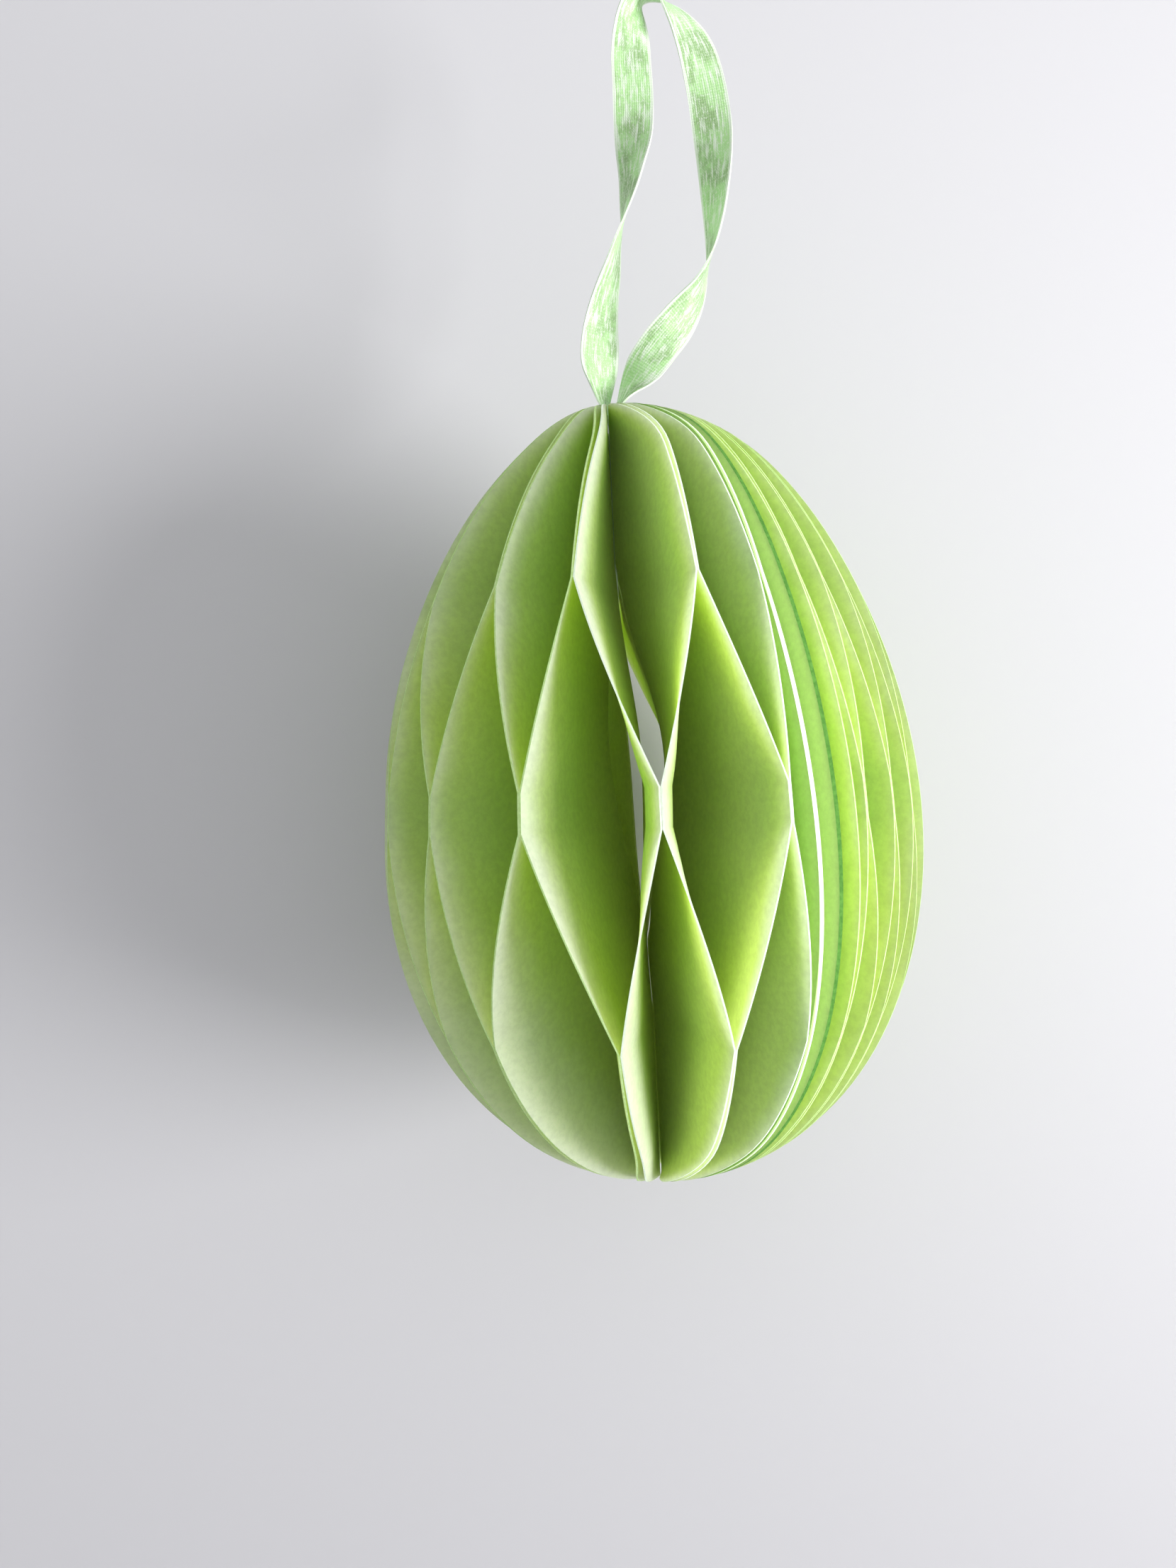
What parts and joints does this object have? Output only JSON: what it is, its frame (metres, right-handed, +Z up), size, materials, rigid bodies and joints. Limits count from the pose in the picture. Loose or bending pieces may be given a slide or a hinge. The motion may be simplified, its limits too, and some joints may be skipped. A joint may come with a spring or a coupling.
{
  "type": "folded paper egg",
  "caption": "Hanging egg of green card leaves spot-glued into open diamond cells round a spine, with a woven ribbon loop.",
  "frame": {"origin": "the point inside the top of the ribbon loop where a hook bears", "axes": "+Z up along the egg's own axis, +Y away from the front, +X to the right as seen from the front"},
  "size_m": [0.079, 0.0785, 0.1767],
  "materials": {
    "leaf_card": "matte",
    "cover_board": "matte",
    "ribbon_weave": "satin"
  },
  "bodies": {
    "root": {"cover_left": "cover_board", "cover_right": "cover_board", "ribbon": "ribbon_weave", "leaf_01": "leaf_card", "leaf_02": "leaf_card", "leaf_03": "leaf_card", "leaf_04": "leaf_card", "leaf_05": "leaf_card", "leaf_06": "leaf_card", "leaf_07": "leaf_card", "leaf_08": "leaf_card", "leaf_09": "leaf_card", "leaf_10": "leaf_card", "leaf_11": "leaf_card", "leaf_12": "leaf_card", "leaf_13": "leaf_card", "leaf_14": "leaf_card", "leaf_15": "leaf_card", "leaf_16": "leaf_card", "leaf_17": "leaf_card", "leaf_18": "leaf_card", "leaf_19": "leaf_card", "leaf_20": "leaf_card", "leaf_21": "leaf_card", "leaf_22": "leaf_card", "leaf_23": "leaf_card", "leaf_24": "leaf_card", "leaf_25": "leaf_card", "leaf_26": "leaf_card", "leaf_27": "leaf_card", "leaf_28": "leaf_card", "leaf_29": "leaf_card", "leaf_30": "leaf_card", "leaf_31": "leaf_card", "leaf_32": "leaf_card", "leaf_33": "leaf_card", "leaf_34": "leaf_card", "leaf_35": "leaf_card", "leaf_36": "leaf_card", "leaf_37": "leaf_card", "leaf_38": "leaf_card", "leaf_39": "leaf_card"}
  },
  "joints": []
}
